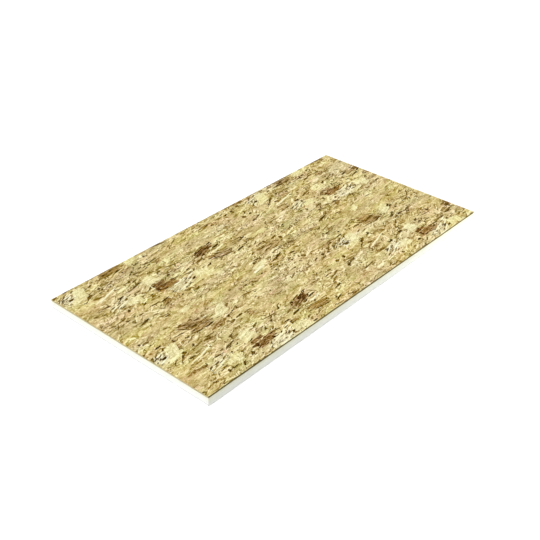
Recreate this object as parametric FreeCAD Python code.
import FreeCAD, Part
import os

# Nailbase roof insulation panel, 4 x 8 ft (1219 x 2438 mm).
# Two flat pieces, bonded face to face with all four edges flush and square cut:
#   foam_board     rigid white bead foam, the insulation, which lies on the roof deck
#   osb_sheathing  oriented strand board, the nailing face, on top
#
# Frame: +X along the 8 ft length, which is the way the face strands run, +Y across
# the 4 ft width, +Z up out of the nailing face. The origin is the middle of the
# underside, the face that goes down on the deck.

# ---- driving dimensions, millimetres ----
PANEL_LENGTH = 2438.4     # 8 ft
PANEL_WIDTH = 1219.2      # 4 ft
FOAM_THICKNESS = 50.8     # 2 in foam
OSB_THICKNESS = 11.1      # 7/16 in oriented strand board

# ---- levels that follow from them ----
Z_DECK = 0.0                          # underside of the foam, on the roof deck
Z_BOND = Z_DECK + FOAM_THICKNESS      # glue line between foam and strand board
Z_NAIL = Z_BOND + OSB_THICKNESS       # nailing face


def sheet(thickness, z):
    """A square-edged sheet of the panel's plan size, centred on the Z axis, with its underside at z."""
    corner = FreeCAD.Vector(-PANEL_LENGTH / 2, -PANEL_WIDTH / 2, z)
    return Part.makeBox(PANEL_LENGTH, PANEL_WIDTH, thickness, corner)


foam_board = sheet(FOAM_THICKNESS, Z_DECK)
osb_sheathing = sheet(OSB_THICKNESS, Z_BOND)

pieces = {
    "foam_board": foam_board,
    "osb_sheathing": osb_sheathing,
}

os.makedirs("parts", exist_ok=True)
for name, solid in pieces.items():
    box = solid.BoundBox
    print(
        f"{name}: valid {solid.isValid()}, {solid.Volume / 1e9:.5f} m3, "
        f"{box.XLength:.1f} x {box.YLength:.1f} x {box.ZLength:.1f} mm, z {box.ZMin:.1f} to {box.ZMax:.1f}"
    )
    solid.exportStep(f"parts/{name}.step")
print(f"panel: {PANEL_LENGTH:.1f} x {PANEL_WIDTH:.1f} x {Z_NAIL:.1f} mm")
